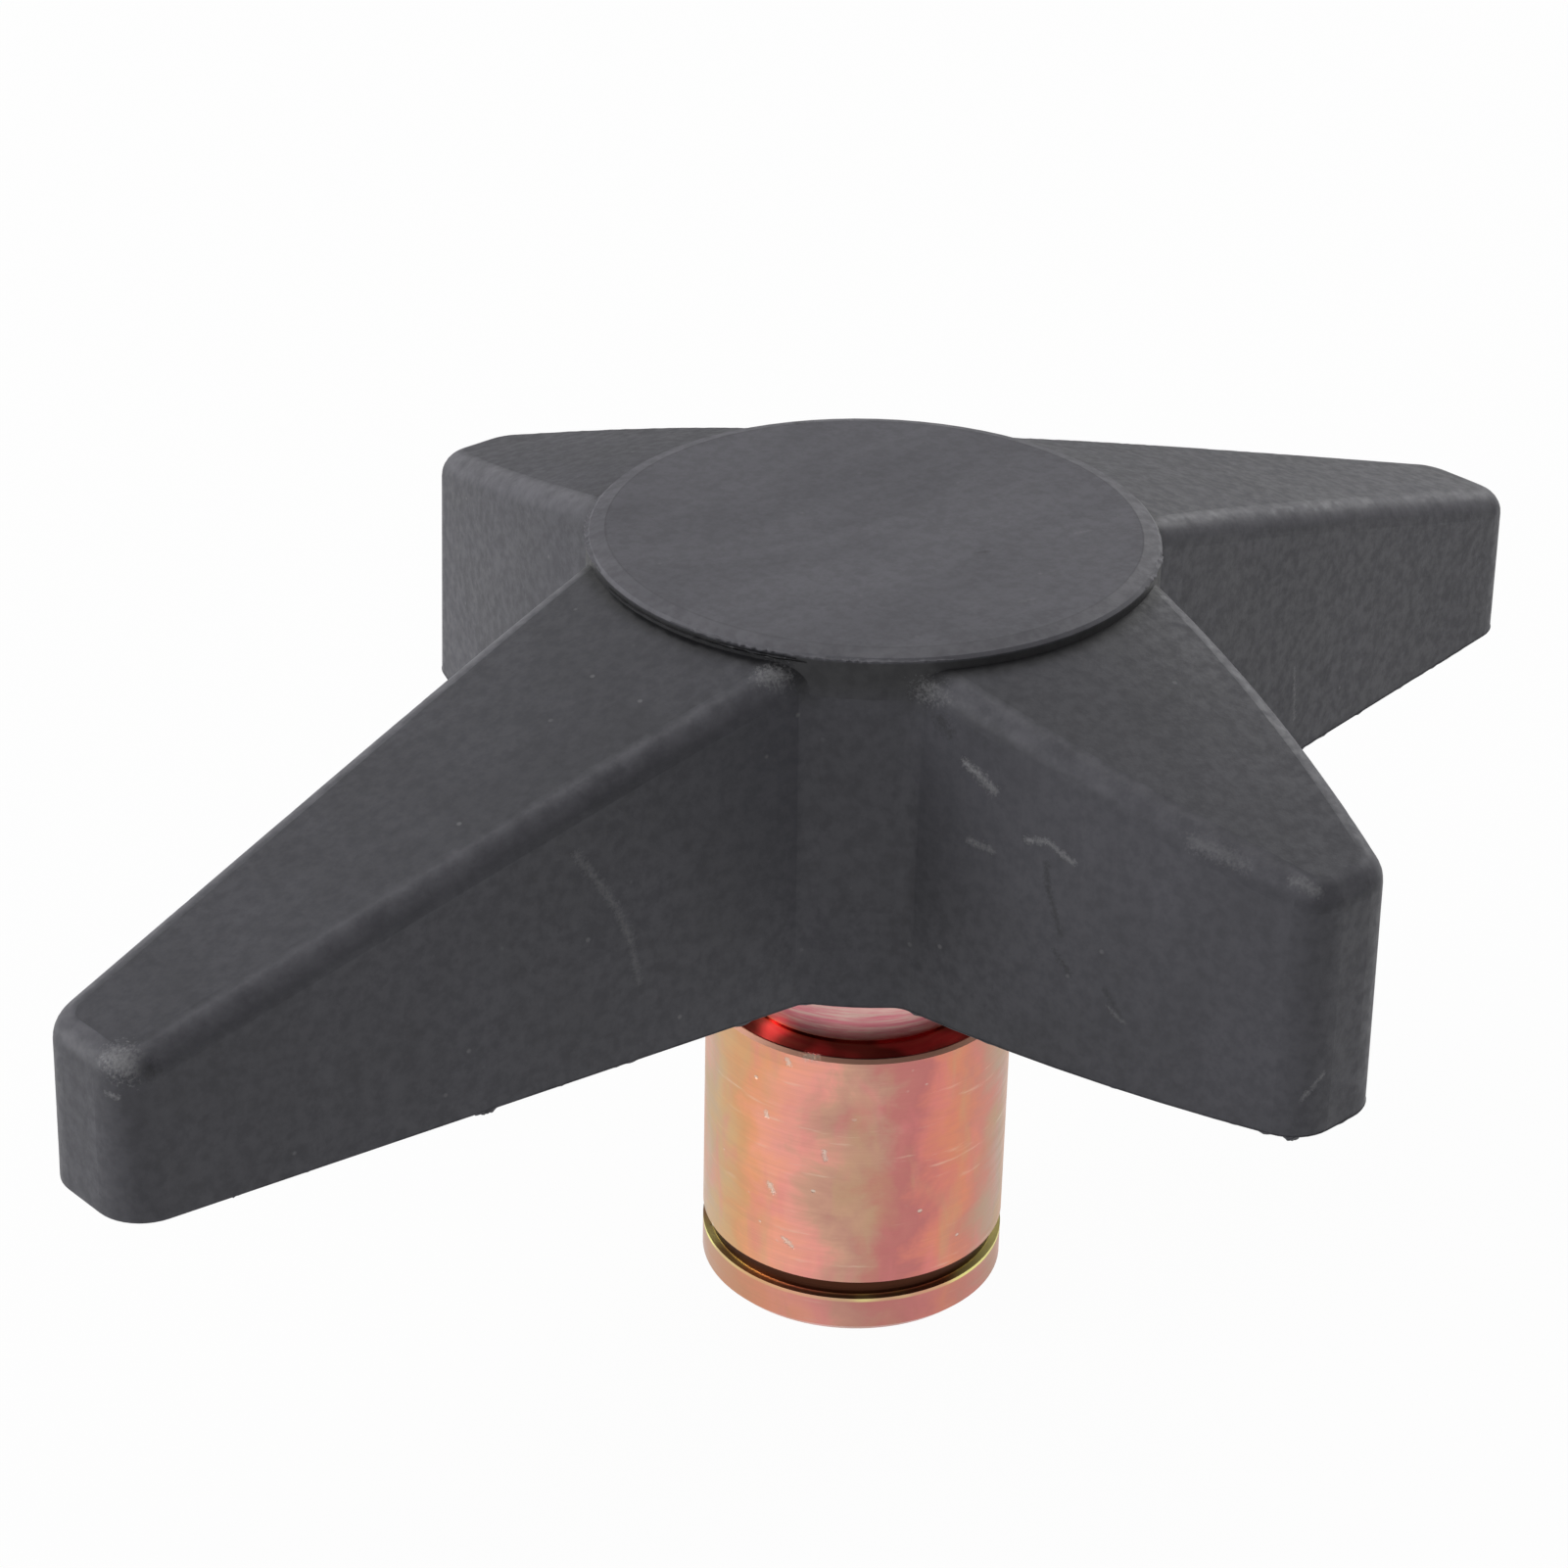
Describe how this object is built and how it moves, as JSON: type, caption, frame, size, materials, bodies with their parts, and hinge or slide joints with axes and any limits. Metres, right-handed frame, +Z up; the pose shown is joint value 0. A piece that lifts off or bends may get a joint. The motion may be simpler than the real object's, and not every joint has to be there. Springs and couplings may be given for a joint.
{
  "type": "star knob",
  "caption": "Star knob with long and short tapered arms round a flat boss, moulded on a turned steel hub with a ring groove and a tapped bore, for turning a spindle by hand.",
  "frame": {"origin": "centre of the hub's lower end face, on the knob's axis", "axes": "+Z up the hub's axis towards the boss, +X along one of the long arms, +Y along one of the short arms"},
  "size_m": [0.119, 0.0808, 0.0534],
  "materials": {
    "grip_plastic": "dull dark grey moulded plastic with a pale bloom, fine scuffs and moulding flash",
    "hub_steel": "turned steel with yellow iridescent chromated zinc"
  },
  "bodies": {
    "root": {"star_body": "grip_plastic", "hub": "hub_steel"}
  },
  "joints": []
}
